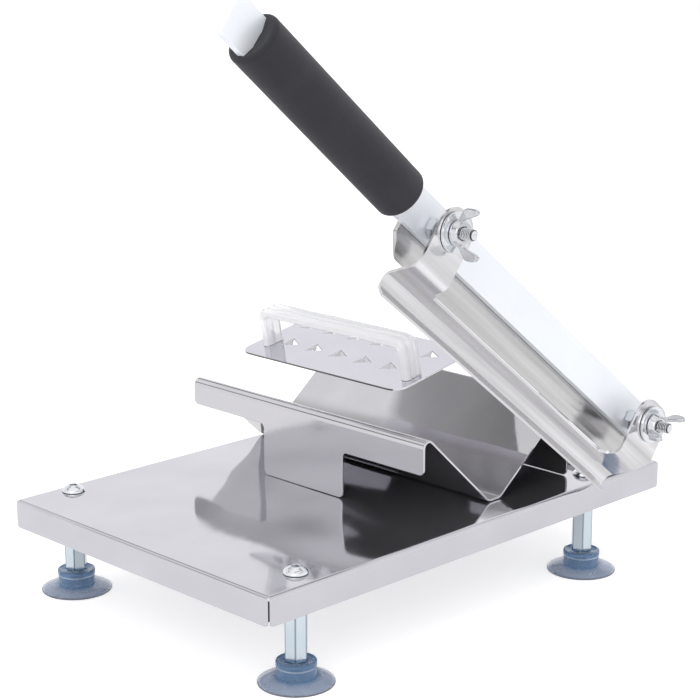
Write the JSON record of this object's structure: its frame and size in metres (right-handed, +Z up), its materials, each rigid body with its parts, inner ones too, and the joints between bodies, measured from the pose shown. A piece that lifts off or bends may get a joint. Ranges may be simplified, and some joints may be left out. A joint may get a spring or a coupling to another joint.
{
  "type": "frozen meat slicer",
  "caption": "Bench slicer for frozen meat: hinged blade arm and adjustable thickness plate in front of a folded steel base with a V tray, a loose press and suction feet.",
  "frame": {"origin": "on the table under the middle of the object's outline", "axes": "+Z up, +X along the base's long side to the blade's hinge, +Y from the blade towards the back of the tray"},
  "size_m": [0.3288, 0.2454, 0.3283],
  "materials": {
    "polished_steel": "mirror-polished stainless steel",
    "sheet_steel": "brushed stainless steel",
    "zinc_steel": "satin zinc plating",
    "foam": "matte closed-cell foam",
    "clear_pvc": "clear soft plastic, slightly blue",
    "acrylic": "clear hard plastic"
  },
  "bodies": {
    "base": {"base_plate": "polished_steel", "meat_tray": "sheet_steel", "foot_screw_near_left": "polished_steel", "foot_screw_far_left": "polished_steel", "foot_screw_near_right": "polished_steel", "foot_screw_far_right": "polished_steel", "standoff_near_left": "zinc_steel", "standoff_far_left": "zinc_steel", "standoff_near_right": "zinc_steel", "standoff_far_right": "zinc_steel", "cup_stud_near_left": "zinc_steel", "cup_stud_far_left": "zinc_steel", "cup_stud_near_right": "zinc_steel", "cup_stud_far_right": "zinc_steel", "suction_cup_near_left": "clear_pvc", "suction_cup_far_left": "clear_pvc", "suction_cup_near_right": "clear_pvc", "suction_cup_far_right": "clear_pvc", "hinge_bracket": "sheet_steel", "bracket_screw_near": "zinc_steel", "bracket_screw_far": "zinc_steel", "bracket_nut_near": "zinc_steel", "bracket_nut_far": "zinc_steel"},
    "arm": {"handle_bar": "zinc_steel", "foam_grip": "foam", "blade": "sheet_steel", "upper_bolt": "zinc_steel", "pivot_bolt": "zinc_steel", "pivot_washer": "zinc_steel", "lock_nut_upper": "zinc_steel", "lock_nut_lower": "zinc_steel"},
    "thickness_plate": {"thickness_plate": "sheet_steel", "washer_upper": "zinc_steel", "washer_lower": "zinc_steel"},
    "wing_nut_upper": {"wing_nut_upper": "zinc_steel"},
    "wing_nut_lower": {"wing_nut_lower": "zinc_steel"},
    "adjusting_nut_upper": {"adjusting_nut_upper": "zinc_steel"},
    "adjusting_nut_lower": {"adjusting_nut_lower": "zinc_steel"},
    "press": {"press_plate": "sheet_steel", "press_handle": "acrylic", "press_screw_near": "zinc_steel", "press_screw_far": "zinc_steel"}
  },
  "joints": [
    {"name": "arm_hinge", "type": "hinge", "parent": "base", "child": "arm", "pos_m": [0.1249, -0.08625, 0.0895], "axis": [0, 1, 0], "range_deg": [-43, 37]},
    {"name": "plate_slide", "type": "slide", "parent": "arm", "child": "thickness_plate", "axis": [0, -1, 0], "range_m": [-0.001, 0.006]},
    {"name": "wing_nut_upper_turn", "type": "hinge", "parent": "thickness_plate", "child": "wing_nut_upper", "pos_m": [-0.03564, -0.11125, 0.21538], "axis": [0, -1, 0], "range_deg": [-360, 2160]},
    {"name": "wing_nut_lower_turn", "type": "hinge", "parent": "thickness_plate", "child": "wing_nut_lower", "pos_m": [0.1249, -0.11125, 0.0895], "axis": [0, -1, 0], "range_deg": [-360, 2160]},
    {"name": "adjusting_nut_upper_turn", "type": "hinge", "parent": "thickness_plate", "child": "adjusting_nut_upper", "pos_m": [-0.03564, -0.10375, 0.21538], "axis": [0, -1, 0], "range_deg": [-360, 2160]},
    {"name": "adjusting_nut_lower_turn", "type": "hinge", "parent": "thickness_plate", "child": "adjusting_nut_lower", "pos_m": [0.1249, -0.10375, 0.0895], "axis": [0, -1, 0], "range_deg": [-360, 2160]},
    {"name": "press_slide", "type": "slide", "parent": "base", "child": "press", "axis": [0, -1, 0], "range_m": [-0.027, 0.045]}
  ],
  "couplings": [
    {"joint": "wing_nut_upper_turn", "follows": "plate_slide", "rad_per_m": 6283.2},
    {"joint": "wing_nut_lower_turn", "follows": "plate_slide", "rad_per_m": 6283.2},
    {"joint": "adjusting_nut_upper_turn", "follows": "plate_slide", "rad_per_m": 6283.2},
    {"joint": "adjusting_nut_lower_turn", "follows": "plate_slide", "rad_per_m": 6283.2}
  ]
}
